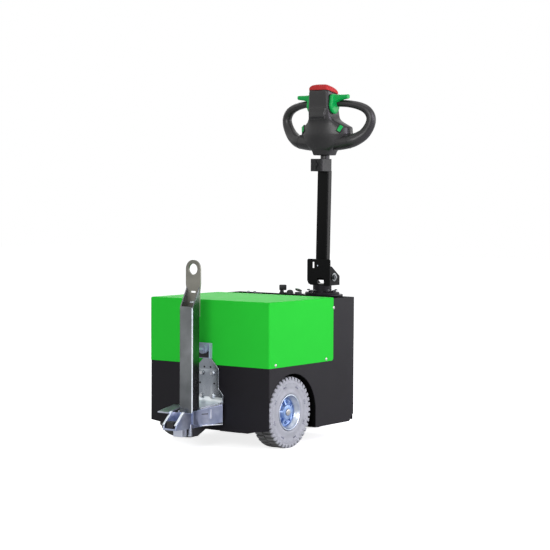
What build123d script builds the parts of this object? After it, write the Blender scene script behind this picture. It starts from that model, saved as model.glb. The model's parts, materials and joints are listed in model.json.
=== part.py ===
from build123d import *
import os
from math import atan2, cos, degrees, pi, radians, sin, tan

# Electric tow tractor, walk-behind. Millimetres, +Z up, -Y is the hitch end, +Y the tiller end.
# Every piece is laid out from the front panel's outer face (y = 0), the centre plane (x = 0)
# and the floor (z = 0). At the end all pieces move so the footprint's centre is the origin.

# Body
body_width = 500.0
body_length = 498.0
body_top = 488.0
ground_gap = 56.0
panel_t = 3.0
corner_rise = 15.0
corner_run = 120.0
notch_half = 48.0
notch_rise = 6.0
side_corner_r = 26.0
# Hood
hood_bottom = 276.0
hood_rise = 4.0
hood_top = body_top + hood_rise
deck_run = 130.0
hood_rear = body_length - deck_run
hood_t = 2.0
hood_edge_r = 5.0
hood_corner_r = 9.0
lap = 18.0
# Drive wheels
tyre_r = 120.0
tyre_w = 72.0
tyre_bore_r = 60.0
axle_y = 131.0
wheel_out = 241.0
lug_count = 44
lug_depth = 3.6
lug_share = 0.66
shoulder_drop = 9.0
shoulder_h = 20.0
tread_h = 13.0
wall_h = 24.0
bead_h = 4.0
rim_lip = 3.5
stub_r = 12.0
fit_gap = 0.05
hub_r = 24.0
hub_end_gap = 8.0
wheel_bolts = 5
wheel_bolt_ring = 37.0
# Wheel wells
arch_r = 137.0
arch_centre_z = 113.0
arch_sides = 48
well_t = 3.0
well_gap = 10.0
# Floor, battery and drive
floor_t = 4.0
battery_w = 250.0
battery_h = 190.0
battery_end_gap = 45.0
battery_shelf_z = 262.0
gearcase_w = 90.0
axle_tube_r = 30.0
motor_r = 55.0
motor_l = 150.0
# Rear nose and steering bearing
nose_reach = 167.0
steer_y = body_length + nose_reach
nose_r = 75.0
nose_drop = 8.0
nose_bottom = 205.0
nose_t = 4.0
column_r = 25.0
boss_wall = 12.0
flange_r = 62.0
flange_t = 8.0
flange_bolts = 6
flange_bolt_ring = 48.0
flange_head_h = 5.5
turret_r = 34.0
turret_foot_r = 38.0
turret_foot_h = 4.0
turret_h = 25.0
turn_gap = 0.5
# Rear wheel
caster_r = 85.0
caster_w = 70.0
trail = 60.0
caster_bore_r = 54.0
fork_gap = 6.0
fork_t = 6.0
crown_r = 50.0
crown_t = 10.0
crown_gap = 17.0
pin_r = 8.0
# Tiller bracket
bracket_half = 50.0
bracket_t = 5.0
bracket_front_y = steer_y - 25.0
bracket_rear_y = steer_y + 39.0
bracket_h = 95.0
cheek_run = 8.0
cheek_drop = 26.0
cheek_rear_drop = 62.0
foot_corner = 16.0
pivot_y = steer_y + 1.0
pivot_h = 30.0
pivot_r = 7.0
washer_r = 10.0
# Mast
mast_w = 48.0
mast_d = 26.0
mast_t = 3.0
mast_top = 925.0
lean = 1.6
clamp_half = 26.0
clamp_front_y = steer_y - 45.0
clamp_rear_y = steer_y + 21.0
clamp_h = 45.0
neck_h = 13.0
neck_r = 17.0
# Tiller head, drawn with the steering axis at head_axis_y
head_axis_y = 665.0
head_front_y = 628.0
cap_drop = 0.20
grip_sides = 16
# Hitch
post_w = 55.0
post_d = 37.0
post_t = 4.0
post_front_y = -122.0
post_low = 125.0
post_front_top = 476.0
post_rear_top = 540.0
eye_t = 6.0
eye_z = 597.0
eye_hole_r = 18.0
plate_t = 6.0
plate_half = 48.0
plate_top = 297.0
plate_foot_half = 67.0
shelf_rear_z = 153.0
shelf_front_z = 141.0
skirt_t = 4.5
skirt_rear_z = 86.0
skirt_knee_y = -20.0
skirt_low_z = 77.0
skirt_front_z = 90.0
jaw_front_y = -206.0
jaw_half = 29.0
jaw_t = 6.0
jaw_floor_z = 76.0
jaw_top_y = -164.0
jaw_top_z = 131.0
jaw_nose_z = 92.0
pad_h = 22.0
foot_h = 26.0
lug_h = 49.0


def block(x0, x1, y0, y1, z0, z1):
    """A box between two corners."""
    centre = ((x0 + x1) / 2, (y0 + y1) / 2, (z0 + z1) / 2)
    return Pos(*centre) * Box(x1 - x0, y1 - y0, z1 - z0)


def rod(axis, r, a, b, centre):
    """A cylinder along X, Y or Z from a to b, through centre in the other two directions."""
    return lay(Cylinder(r, abs(b - a)), axis, (a + b) / 2, centre)


def drum(axis, r, a, b, centre, sides=24):
    """A many-sided prism for what looks round and doesn't turn in anything."""
    prism = extrude(RegularPolygon(r, sides), abs(b - a) / 2, both=True)
    return lay(prism, axis, (a + b) / 2, centre)


def lay(solid, axis, mid, centre):
    """Turn an upright solid onto the axis and put its middle in place."""
    if axis == "X":
        return Pos(mid, centre[0], centre[1]) * Rot(0, 90, 0) * solid
    if axis == "Y":
        return Pos(centre[0], mid, centre[1]) * Rot(90, 0, 0) * solid
    return Pos(centre[0], centre[1], mid) * solid


def side_profile(points, x0, x1):
    """A plate whose outline is drawn in (y, z), between two x planes."""
    face = make_face(Polyline([(0, y, z) for y, z in points], close=True))
    return Pos(x0, 0, 0) * extrude(face, x1 - x0, dir=(1, 0, 0))


def front_profile(points, y0, y1):
    """A plate whose outline is drawn in (x, z), between two y planes."""
    face = make_face(Polyline([(x, 0, z) for x, z in points], close=True))
    return Pos(0, y0, 0) * extrude(face, y1 - y0, dir=(0, 1, 0))


def plan_profile(points, z0, z1):
    """A plate whose outline is drawn in (x, y), between two z planes."""
    face = make_face(Polyline([(x, y, 0) for x, y in points], close=True))
    return Pos(0, 0, z0) * extrude(face, z1 - z0, dir=(0, 0, 1))


def both_sides(points):
    """A (x, z) or (x, y) outline drawn on the right side, closed by its mirror image."""
    return points + [(-x, v) for x, v in reversed(points)]


def polygon(points):
    """A flat face inside a closed outline of points."""
    return make_face(Polyline(points, close=True))


def skin(rings):
    """A solid of flat faces between rings of points, closed at both ends."""
    faces = [polygon(rings[0]), polygon(rings[-1])]
    for near, far in zip(rings, rings[1:]):
        for i in range(len(near)):
            j = (i + 1) % len(near)
            a, b, c, d = (Vector(*p) for p in (near[i], near[j], far[j], far[i]))
            if abs((b - a).cross(c - a).dot(d - a)) < 1e-4:
                faces.append(polygon([a, b, c, d]))
            else:
                faces += [polygon([a, b, c]), polygon([a, c, d])]
    return Solid(Shell([piece.face() for piece in faces]))


def ring(x, radii, angles):
    """Points about the X axis at the given radii and angles in degrees, at one x."""
    return [(x, r * sin(radians(a)), -r * cos(radians(a))) for r, a in zip(radii, angles)]


def stepped(rows, sides=24):
    """A many-sided drum along X whose radius changes by the (x, radius) rows."""
    angles = [360 / sides * i for i in range(sides)]
    return skin([ring(x, [r] * sides, angles) for x, r in rows])


def flip(solid):
    """The same piece on the other side of the centre plane."""
    return mirror(solid, about=Plane.YZ)


half = body_width / 2
side_in = half - panel_t
hood_half = half + hood_t
hood_lap_z = hood_bottom + lap
deck_low = body_top - panel_t
arch_rear_y = axle_y + arch_r
arch_axis = (axle_y, arch_centre_z)
floor_top = ground_gap + floor_t
pieces = {}

# Body panels
side = side_profile(
    [
        (panel_t, ground_gap),
        (body_length - side_corner_r, ground_gap),
        (body_length, ground_gap + side_corner_r),
        (body_length, body_top),
        (hood_rear - lap, body_top),
        (hood_rear - lap, hood_lap_z),
        (panel_t, hood_lap_z),
    ],
    side_in,
    half,
)
side -= drum("X", arch_r, side_in - 1, half + 1, arch_axis, arch_sides)
side -= block(side_in - 1, half + 1, -arch_r, arch_rear_y, 0, arch_centre_z)
pieces["side_panel_right"] = side
pieces["side_panel_left"] = flip(side)

front_outline = [
    (notch_half - notch_rise, ground_gap + notch_rise),
    (notch_half, ground_gap),
    (half - corner_run, ground_gap),
    (half, ground_gap + corner_rise),
    (half, hood_lap_z),
]
pieces["front_panel"] = front_profile(both_sides(front_outline), 0, panel_t)
pieces["rear_panel"] = block(
    -side_in, side_in, body_length - panel_t, body_length, floor_top, deck_low
)
pieces["rear_deck"] = block(
    -side_in, side_in, hood_rear - lap, body_length, deck_low, body_top
)

# Hood: a bent cover, open at the rear and underneath
hood = block(-hood_half, hood_half, -hood_t, hood_rear, hood_bottom, hood_top)
hood = fillet(
    hood.edges().filter_by(Axis.Z).group_by(Axis.Y)[0]
    + hood.edges().filter_by(Axis.Y).group_by(Axis.Z)[-1]
    + hood.edges().filter_by(Axis.X).group_by(Axis.Z)[-1].group_by(Axis.Y)[0],
    hood_edge_r,
)
hood = fillet(
    hood.edges().filter_by(Axis.X).group_by(Axis.Y)[-1].group_by(Axis.Z)[0], hood_corner_r
)
hood -= block(-half, half, 0, hood_rear + 1, hood_bottom - 1, hood_top - hood_t)
pieces["hood"] = hood

# Wheel wells
wheel_in = wheel_out - tyre_w
well_in = wheel_in - well_gap
well_wall = well_in + well_t
axle = (axle_y, tyre_r)
well = drum("X", arch_r + well_t, well_in, side_in, arch_axis, arch_sides)
well += block(well_in, side_in, panel_t, arch_rear_y + well_t, floor_top, arch_centre_z)
well -= drum("X", arch_r, well_wall, side_in + 1, arch_axis, arch_sides)
well -= block(well_wall, side_in + 1, -arch_r, arch_rear_y, 0, arch_centre_z)
well -= block(0, half, -arch_r, panel_t, -arch_r, body_top)
well -= block(0, half, -arch_r, body_length, -arch_r, floor_top)
well -= drum("X", axle_tube_r, well_in - 1, well_wall + 1, axle)
pieces["wheel_well_right"] = well
pieces["wheel_well_left"] = flip(well)

# Floor, battery shelf and battery
floor = block(-side_in, side_in, panel_t, body_length - panel_t, ground_gap, floor_top)
wheel_cut = block(well_wall, half, 0, arch_rear_y, 0, floor_top + 1)
corner_cut = block(
    side_in - 8, half, body_length - side_corner_r - 4, body_length, 0, floor_top + 1
)
floor -= wheel_cut + corner_cut
floor -= flip(wheel_cut + corner_cut)
floor -= block(-notch_half, notch_half, 0, panel_t + notch_rise, 0, floor_top + 1)
pieces["floor_plate"] = floor
pieces["battery_shelf"] = block(
    -side_in, side_in, panel_t, body_length - panel_t, battery_shelf_z - floor_t, battery_shelf_z
)
battery_end_y = body_length - battery_end_gap
battery_top = min(battery_shelf_z + battery_h, deck_low - floor_t)
pieces["battery_pack"] = block(
    -battery_w / 2, battery_w / 2, battery_end_gap, battery_end_y, battery_shelf_z, battery_top
)

# Drive axle
gearcase_r = tyre_r - floor_top
stub_end = wheel_out - hub_end_gap
drive = drum("X", gearcase_r, -gearcase_w / 2, gearcase_w / 2, axle)
drive += drum("X", axle_tube_r, -well_in, well_in, axle)
drive += rod("X", stub_r, -stub_end, stub_end, axle)
drive += drum("Y", motor_r, axle_y, axle_y + motor_l + gearcase_r, (0, tyre_r))
pieces["transaxle"] = drive

# Drive wheels
tyre_half = tyre_w / 2
pitch = 360 / lug_count
seat_half = tyre_half * 0.84


def lug_outline(x, crown):
    """The tread's outline: a flat-topped lug at each pitch and a groove between lugs."""
    flat = pitch * lug_share / 2
    crown_corner = crown / cos(radians(flat))
    radii = []
    angles = []
    for i in range(lug_count):
        for r, a in (
            (crown - lug_depth, -flat - 0.5),
            (crown_corner, -flat),
            (crown_corner, flat),
            (crown - lug_depth, flat + 0.5),
        ):
            radii.append(r)
            angles.append(i * pitch + a)
    return ring(x, radii, angles)


tread_rows = [
    # x as a share of the half width, drop of the crown below the tyre's radius
    (-0.94, shoulder_drop),
    (-0.62, 0.0),
    (0.62, 0.0),
    (0.94, shoulder_drop),
]
tread = skin([lug_outline(tyre_half * x, tyre_r - drop) for x, drop in tread_rows])
wall_rows = [
    # x as a share of the half width, radius
    (-0.84, tyre_bore_r + bead_h),
    (-0.98, tyre_bore_r + wall_h),
    (-1.00, tyre_r - shoulder_h),
    (-0.94, tyre_r - tread_h),
    (0.94, tyre_r - tread_h),
    (1.00, tyre_r - shoulder_h),
    (0.98, tyre_bore_r + wall_h),
    (0.84, tyre_bore_r + bead_h),
]
wall = stepped([(tyre_half * x, r) for x, r in wall_rows], lug_count)
tyre = tread + wall - stepped([(-tyre_w, tyre_bore_r), (tyre_w, tyre_bore_r)], lug_count)

dish_x = seat_half - 17
lip_x = seat_half + rim_lip
outer_rows = [
    # x, radius
    (-seat_half, tyre_bore_r),
    (seat_half, tyre_bore_r),
    (lip_x, tyre_bore_r - 1),
]
front_dish_rows = [
    # x, radius
    (dish_x, tyre_bore_r - 14),
    (seat_half - 4, tyre_bore_r - 7),
    (lip_x + 1, tyre_bore_r - 4),
]
back_dish_rows = [
    # x, radius
    (-seat_half - 1, tyre_bore_r - 4),
    (dish_x - 4, tyre_bore_r - 14),
]
hub_rows = [
    # x, radius
    (2 - seat_half, hub_r),
    (dish_x, hub_r + 4),
    (seat_half - 6, hub_r),
    (seat_half - 2, hub_r - 4),
]
rim = stepped(outer_rows, lug_count) - stepped(front_dish_rows) - stepped(back_dish_rows)
rim += stepped(hub_rows)
rim -= rod("X", stub_r + fit_gap, -tyre_w, tyre_w, (0, 0))
for i in range(wheel_bolts):
    hole = drum("X", 4.2, 0, tyre_half, (0, wheel_bolt_ring), 8)
    rim -= Rot(360 / wheel_bolts * (i + 0.5), 0, 0) * hole
wheel_mid = wheel_out - tyre_half
for name, place, side_rim in (("right", wheel_mid, rim), ("left", -wheel_mid, flip(rim))):
    spot = Pos(place, axle_y, tyre_r)
    pieces["tyre_" + name] = spot * tyre
    pieces["rim_" + name] = spot * side_rim

# Rear nose with its bearing boss
nose_top = body_top - nose_drop
nose_roof = nose_top - 2 * nose_t
steer = (0, steer_y)


def stadium(r, y0, z0, z1):
    """A plan outline with straight sides from y0 and a round rear end about the steering axis."""
    return block(-r, r, y0, steer_y, z0, z1) + drum("Z", r, z0, z1, steer, 32)


nose = stadium(nose_r, body_length, nose_bottom, nose_top)
nose -= stadium(nose_r - nose_t, body_length + nose_t, nose_bottom - 1, nose_roof)
nose += drum("Z", column_r + boss_wall, nose_bottom, nose_roof, steer)
nose -= rod("Z", column_r + fit_gap, nose_bottom - 1, nose_top + 1, steer)
pieces["rear_nose"] = nose

flange_top = nose_top + flange_t
flange = drum("Z", flange_r, nose_top, flange_top, steer, 32)
flange -= rod("Z", column_r + fit_gap, nose_top - 1, flange_top + 1, steer)
head_face = RegularPolygon(7.5, 6)
for i in range(flange_bolts):
    a = 2 * pi * i / flange_bolts
    at = (flange_bolt_ring * cos(a), steer_y + flange_bolt_ring * sin(a))
    flange += Pos(at[0], at[1], flange_top) * extrude(head_face, flange_head_h)
pieces["bearing_flange"] = flange

# Steering column, fork and rear wheel
caster_y = steer_y - trail
caster = (caster_y, caster_r)
crown_low = 2 * caster_r + crown_gap
crown_high = crown_low + crown_t
leg_in = caster_w / 2 + fork_gap
leg_out = leg_in + fork_t
turret_top = flange_top + turret_h
column_top = turret_top - 4
fork = drum("Z", crown_r, crown_low, crown_high, steer)
fork += block(-leg_out, leg_out, caster_y - 6, steer_y, crown_low, crown_high)
fork += rod("Z", column_r, crown_low, column_top, steer)
leg = side_profile(
    [
        (caster_y - 15, caster_r),
        (caster_y - 12, crown_high),
        (steer_y + 24, crown_high),
        (steer_y + 20, crown_low - 10),
        (caster_y + 15, caster_r - 4),
    ],
    leg_in,
    leg_out,
)
leg += drum("X", 15, leg_in, leg_out, caster, 16)
leg += drum("X", pin_r + 5, leg_out, leg_out + 5, caster, 6)
fork += leg
fork += flip(leg)
fork += rod("X", pin_r, -leg_out, leg_out, caster)
pieces["caster_fork"] = fork

turret_low = flange_top + turn_gap
turret = drum("Z", turret_r, turret_low, turret_top, steer)
turret += drum("Z", turret_foot_r, turret_low, turret_low + turret_foot_h, steer)
turret -= rod("Z", column_r, turret_low - 1, column_top, steer)
pieces["turret"] = turret

caster_half = caster_w / 2
spot = Pos(0, *caster)


def mirrored(rows):
    """The (x, radius) rows of one end, followed by those of the other end."""
    return [(-x, r) for x, r in rows] + [(x, r) for x, r in reversed(rows)]


caster_rows = mirrored([
    # x, radius
    (0.96 * caster_half, caster_bore_r),
    (caster_half, caster_r - 14),
    (0.86 * caster_half, caster_r - 3),
    (0.50 * caster_half, caster_r),
])
bore = stepped([(-caster_w, caster_bore_r), (caster_w, caster_bore_r)])
pieces["caster_tyre"] = spot * (stepped(caster_rows, 32) - bore)
hub_side_cut = [
    # x, radius
    (8, caster_bore_r - 12),
    (caster_w, caster_bore_r - 4),
]
caster_hub = stepped([(-0.8 * caster_half, caster_bore_r), (0.8 * caster_half, caster_bore_r)])
caster_hub -= stepped(hub_side_cut) + flip(stepped(hub_side_cut))
caster_hub += stepped([(-caster_half - 2, 18), (caster_half + 2, 18)])
caster_hub -= rod("X", pin_r + fit_gap, -caster_w, caster_w, (0, 0))
pieces["caster_hub"] = spot * caster_hub

# Tiller bracket: a front plate, a base and two cheeks
bracket_top = turret_top + bracket_h
bracket_in = bracket_half - bracket_t
plate_back_y = bracket_front_y + bracket_t
base_top = turret_top + bracket_t
pivot_z = turret_top + pivot_h
pivot = (pivot_y, pivot_z)
front_outline = [
    (bracket_half, turret_top),
    (bracket_half, bracket_top - 4),
    (bracket_half - 4, bracket_top),
    (4 - bracket_half, bracket_top),
    (-bracket_half, bracket_top - 4),
    (-bracket_half, turret_top + foot_corner),
    (5 - bracket_half, turret_top + 5),
    (foot_corner - bracket_half, turret_top),
]
bracket = front_profile(front_outline, bracket_front_y, plate_back_y)
base_left = foot_corner - bracket_half
bracket += block(base_left, bracket_half, bracket_front_y, bracket_rear_y, turret_top, base_top)
cheek_rows = [
    # y, z
    (plate_back_y, turret_top),
    (plate_back_y, bracket_top - cheek_drop),
    (plate_back_y + cheek_run, bracket_top - cheek_drop),
    (bracket_rear_y, bracket_top - cheek_rear_drop),
    (bracket_rear_y, turret_top),
]
right_cheek = side_profile(cheek_rows, bracket_in, bracket_half)
left_foot_z = turret_top + foot_corner
left_rows = [(plate_back_y, left_foot_z)] + cheek_rows[1:4] + [(bracket_rear_y, left_foot_z)]
left_cheek = side_profile(left_rows, -bracket_half, -bracket_in)
bracket += right_cheek + left_cheek
bracket += side_profile(
    [
        (bracket_front_y, turret_top + foot_corner),
        (bracket_rear_y, turret_top + foot_corner),
        (bracket_rear_y, turret_top + foot_corner + bracket_t - 1),
        (bracket_front_y, turret_top + foot_corner + bracket_t - 1),
    ],
    -bracket_half,
    -bracket_in,
)
corner = front_profile(
    [
        (-bracket_half, turret_top + foot_corner + 1),
        (-bracket_half, turret_top + foot_corner),
        (foot_corner - bracket_half, turret_top),
        (foot_corner + 1 - bracket_half, turret_top),
        (foot_corner + 1 - bracket_half, base_top),
        (-bracket_in, turret_top + foot_corner + 1),
    ],
    bracket_front_y,
    bracket_rear_y,
)
bracket += corner
window_rows = [
    # x0, x1, z0, z1 above the turret's top
    (-28, -19, 62, 84),
    (-7, 23, 5, 25),
]
for x0, x1, low, high in window_rows:
    bracket -= block(x0, x1, bracket_front_y - 1, plate_back_y, turret_top + low, turret_top + high)
bracket -= drum("X", pivot_r + 1, -bracket_half - 1, bracket_half + 1, pivot, 12)
pieces["tiller_bracket"] = bracket

pin = rod("X", pivot_r, -bracket_in, bracket_in, pivot)
for way in (-1, 1):
    pin += drum("X", pivot_r + 1, way * bracket_in, way * bracket_half, pivot, 12)
    pin += drum("X", washer_r, way * bracket_half, way * (bracket_half + 2), pivot, 12)
    pin += drum("X", pivot_r + 1, way * bracket_half, way * (bracket_half + 7), pivot, 6)
    pin += drum("X", pivot_r + 4, way * (mast_w / 2 + turn_gap), way * bracket_in, pivot, 12)
pieces["pivot_bolt"] = pin

# Mast, clamp and neck
mast_half = mast_w / 2
mast_reach = mast_top - pivot_z + 2
tube = block(-mast_half, mast_half, -mast_d / 2, mast_d / 2, 0, mast_reach)
tube = chamfer(tube.edges().filter_by(Axis.Z), 2)
inner_half = mast_half - mast_t
inner_depth = mast_d / 2 - mast_t
tube -= block(-inner_half, inner_half, -inner_depth, inner_depth, -1, mast_reach)
tube -= block(mast_t - mast_half, mast_half - mast_t, -mast_d, mast_d, -1, mast_d)
ears = drum("X", mast_d / 2, -mast_half, mast_half, (0, 0))
ears -= block(mast_t - mast_half, mast_half - mast_t, -mast_d, mast_d, -mast_d, mast_d)
tube += ears
tube += drum("X", pivot_r + 4, -mast_half, mast_half, (0, 0), 12)
tube -= rod("X", pivot_r + fit_gap, -mast_w, mast_w, (0, 0))
tube = Pos(0, pivot_y, pivot_z) * Rot(-lean, 0, 0) * tube
pieces["mast_tube"] = tube - block(-mast_w, mast_w, 0, body_length * 2, mast_top, mast_top + 50)

clamp_top = mast_top + clamp_h
clamp = block(-clamp_half, clamp_half, clamp_front_y, clamp_rear_y, mast_top, clamp_top)
clamp = chamfer(clamp.edges().filter_by(Axis.Z), 4)
clamp -= block(-1.5, 1.5, clamp_front_y - 1, clamp_front_y + 22, mast_top - 1, clamp_top + 1)
pieces["mast_clamp"] = clamp
pieces["clamp_bolt"] = drum("Y", 8, clamp_front_y - 5, clamp_front_y, (0, mast_top + 24), 16)
neck_y = pivot_y + (clamp_top - pivot_z) * tan(radians(lean))
head_low = clamp_top + neck_h
pieces["tiller_neck"] = drum("Z", neck_r, clamp_top, head_low, (0, neck_y), 16)


# Tiller head, as eight-sided sections from the neck to the column's sloping top
def head_section(z, front_y, front_half, corner_y, side_half, rear_corner_y, rear_y, rear_half, slope=0):
    """An eight-sided plan outline at height z, falling to the rear where slope is given."""
    right_side = [
        (front_half, front_y),
        (side_half, corner_y),
        (side_half, rear_corner_y),
        (rear_half, rear_y),
    ]
    outline = right_side + [(-x, y) for x, y in reversed(right_side)]
    return [(x, y, z - slope * (y - head_front_y)) for x, y in outline]


head_rows = [
    # z, front y, front half, corner y, side half, rear corner y, rear y, rear half
    (head_low, 645, 28, 652, 36, 698, 706, 28),
    (1002, 643, 30, 651, 39, 700, 708, 30),
    (1008, 638, 34, 652, 56, 694, 710, 40),
    (1026, 632, 37, 654, 78, 696, 712, 52),
    (1050, 629, 38, 660, 93, 706, 718, 62),
    (1062, 629, 38, 664, 99, 712, 720, 68),
    (1084, 629, 37, 667, 100, 716, 720, 68),
    (1104, 629, 37, 652, 63, 706, 714, 46),
    (1115, 628, 37, 638, 47, 702, 708, 40),
    (1152, 628, 36.5, 633, 42, 698, 703, 36),
]
column_z = 1221.0
column_row = (column_z, 629, 35, 634, 40, 697, 702, 35)
sections = [head_section(*row) for row in head_rows] + [head_section(*column_row, cap_drop)]
head_form = skin(sections)

cap_rows = [
    # rise above the column's top, inset from its outline
    (0.0, -1.5),
    (7.0, -0.5),
    (13.0, 6.0),
    (17.0, 17.0),
]
cap_sections = []
for rise, inset in cap_rows:
    z, front_y, front_half, corner_y, side_half, rear_corner_y, rear_y, rear_half = column_row
    row = (
        z + rise,
        front_y + inset,
        front_half - inset,
        corner_y + inset,
        side_half - inset,
        rear_corner_y - inset,
        rear_y - inset,
        rear_half - inset,
    )
    cap_sections.append(head_section(*row, cap_drop))
pieces["stop_cap"] = skin(cap_sections)

# Rocker switches with their thumb fins
rocker_in = 38.0
rocker_out = 54.0
pear = [
    (640, 1140), (650, 1131), (674, 1131), (688, 1144), (693, 1163),
    (693, 1188), (684, 1201), (650, 1202), (638, 1196), (635, 1172),
]
rocker = side_profile(pear, rocker_in, rocker_out)
fin_rows = [
    # x, front y, rear y, low z, high z
    (rocker_out - 2, 650, 684, 1150, 1200),
    (72, 654, 680, 1176, 1200),
    (108, 660, 673, 1187, 1197),
]
rocker += skin(
    [[(x, y0, z0), (x, y1, z0), (x, y1, z1), (x, y0, z1)] for x, y0, y1, z0, z1 in fin_rows]
)

button_turn = degrees(atan2(39, 64))
button = Pos(83, 656, 1078) * Rot(0, 0, button_turn) * Box(17, 9, 21)
window = block(-33, 33, head_front_y - 1, head_front_y + 6, 1115, 1150)
window_seat = block(-33, 33, head_front_y - 9, head_front_y + 6, 1115, 1150)
housing = head_form - rocker - flip(rocker) - button - flip(button) - window_seat
pieces["head_housing"] = housing
pieces["rocker_right"] = rocker
pieces["rocker_left"] = flip(rocker)
pieces["button_right"] = button
pieces["button_left"] = flip(button)
pieces["display_window"] = window

# Hand grips: tapering tubes that leave the head high and come back low
grip_rows = [
    # x, y, z of the centreline, radius
    (30, 676, 1171, 12.5),
    (104, 683, 1167, 13.0),
    (143, 690, 1158, 14.5),
    (170, 695, 1143, 16.0),
    (184, 698, 1119, 17.0),
    (180, 698, 1092, 18.5),
    (162, 694, 1063, 20.5),
    (139, 686, 1045, 22.5),
    (110, 677, 1033, 24.0),
    (40, 672, 1024, 25.0),
]


def grip_section(i):
    """One many-sided ring of points, square to the grip's centreline at row i."""
    rows = [Vector(*row[:3]) for row in grip_rows]
    along = rows[min(i + 1, len(rows) - 1)] - rows[max(i - 1, 0)]
    across = Vector(0, 1, 0) - along * (along.Y / along.dot(along))
    across = across.normalized() * grip_rows[i][3]
    upward = along.normalized().cross(across)
    turns = [2 * pi * k / grip_sides for k in range(grip_sides)]
    return [tuple(rows[i] + across * cos(t) + upward * sin(t)) for t in turns]


grip = skin([grip_section(i) for i in range(len(grip_rows))])
pieces["grip_right"] = grip - head_form - rocker
pieces["grip_left"] = flip(grip) - head_form - flip(rocker)

head_nodes = ["head_housing", "stop_cap", "display_window"]
for name in ("rocker", "button", "grip"):
    head_nodes += [name + "_right", name + "_left"]
for name in head_nodes:
    pieces[name] = Pos(0, steer_y - head_axis_y, 0) * pieces[name]

# Hitch post and eye
post_half = post_w / 2
post_rear_y = post_front_y + post_d
post = side_profile(
    [
        (post_front_y, post_low),
        (post_front_y, post_front_top),
        (post_rear_y, post_rear_top),
        (post_rear_y, post_low),
    ],
    -post_half,
    post_half,
)
post -= block(
    post_t - post_half,
    post_half - post_t,
    post_front_y + post_t,
    post_rear_y - post_t,
    post_low + 2 * post_t,
    post_rear_top + 1,
)
pieces["hitch_post"] = post

eye_back_y = post_rear_y + eye_t
eye_low = post_front_top - 36
eye = block(-post_half, post_half, post_rear_y, eye_back_y, eye_low, eye_z)
eye += drum("Y", post_half, post_rear_y, eye_back_y, (0, eye_z), 32)
eye -= rod("Y", eye_hole_r, post_rear_y - 1, eye_back_y + 1, (0, eye_z))
for slot_z in (post_rear_top - 40, post_rear_top + 10):
    eye -= block(-8, 8, post_rear_y - 1, eye_back_y + 1, slot_z - 2, slot_z + 2)
pieces["hitch_eye"] = eye

# Mounting plate, its sloping shelf and the skirts that carry the post
plate_back = -hood_t
plate_front = plate_back - plate_t
shelf_slope = (shelf_rear_z - shelf_front_z) / (plate_front - post_rear_y)
plate_outline = [
    (plate_foot_half, shelf_rear_z - plate_t),
    (plate_foot_half, shelf_rear_z + 24),
    (plate_half, shelf_rear_z + 46),
    (plate_half, plate_top - 33),
    (17, plate_top),
]
plate = front_profile(both_sides(plate_outline), plate_front, plate_back)
slab = side_profile(
    [
        (plate_front, shelf_rear_z - plate_t),
        (plate_front, shelf_rear_z),
        (post_rear_y, shelf_front_z),
        (post_rear_y, shelf_front_z - plate_t),
    ],
    -plate_foot_half,
    plate_foot_half,
)
skirt_out = post_half + skirt_t
taper = [
    (plate_foot_half, plate_front),
    (skirt_out, post_rear_y),
]
plate += slab & plan_profile(both_sides(taper), 0, body_top)
bolt_face = RegularPolygon(8.5, 6)
for bolt_x in (-22, 22):
    for bolt_z in (172, 248):
        plate += drum("Y", 6, plate_back, 0, (bolt_x, bolt_z), 6)
        head = extrude(bolt_face, 3, both=True)
        plate += Pos(bolt_x, plate_front - 3, bolt_z) * Rot(90, 0, 0) * head
pieces["hitch_plate"] = plate

skirt_plan = plan_profile(
    [
        (plate_foot_half, plate_front),
        (plate_foot_half - skirt_t * 1.3, plate_front),
        (post_half, post_rear_y),
        (post_half, post_front_y),
        (skirt_out, post_front_y),
        (skirt_out, post_rear_y),
    ],
    0,
    body_top,
)
skirt_side = side_profile(
    [
        (plate_front, skirt_rear_z),
        (skirt_knee_y, skirt_rear_z),
        (post_rear_y - 2, skirt_low_z),
        (post_front_y, skirt_front_z),
        (post_front_y, shelf_front_z - plate_t - 4),
        (post_rear_y, shelf_front_z - plate_t),
        (plate_front, shelf_rear_z - plate_t),
    ],
    0,
    plate_foot_half,
)
skirt = skirt_plan & skirt_side
pieces["hitch_skirt_right"] = skirt
pieces["hitch_skirt_left"] = flip(skirt)

lug_z = plate_top + 32
lug = block(-17, 17, plate_front, plate_back, plate_top, plate_top + lug_h)
lug += block(-17, -13, plate_front - 16, plate_front, plate_top + 4, plate_top + lug_h)
lug += drum("Y", 13, plate_front - 20, plate_front, (2, lug_z))
lug += drum("Y", 6, post_rear_y, plate_front - 20, (2, lug_z), 12)
pieces["hitch_lug"] = lug

# Jaw: two sloping cheeks on a floor plate, in front of the post
cheek_plate = side_profile(
    [
        (post_front_y, post_low),
        (jaw_top_y, jaw_top_z),
        (jaw_front_y + 3, jaw_nose_z),
        (jaw_front_y, jaw_floor_z + jaw_t),
        (post_rear_y - 2, jaw_floor_z + jaw_t),
        (post_rear_y - 2, post_low),
    ],
    jaw_half - jaw_t,
    post_half,
)
jaw = cheek_plate + flip(cheek_plate)
jaw += block(-post_half, post_half, jaw_front_y, post_rear_y - 2, jaw_floor_z, jaw_floor_z + jaw_t)
jaw += block(
    jaw_t - jaw_half, jaw_half - jaw_t, post_front_y, post_front_y + jaw_t, jaw_floor_z + jaw_t, post_low
)
pieces["hitch_jaw"] = jaw
pad_low = jaw_floor_z + jaw_t
pieces["jaw_pad"] = block(-15, 13, jaw_front_y + 4, jaw_front_y + 28, pad_low, pad_low + pad_h)
foot_low = jaw_floor_z - foot_h
pieces["hitch_foot"] = block(-20, 18, -162, -138, foot_low, jaw_floor_z)
pieces["bumper_block"] = side_profile(
    [
        (post_front_y - 6, jaw_floor_z),
        (post_front_y - 6, 48),
        (-84, 46),
        (-40, 66),
        (-34, jaw_floor_z),
    ],
    -22,
    22,
)
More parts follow.
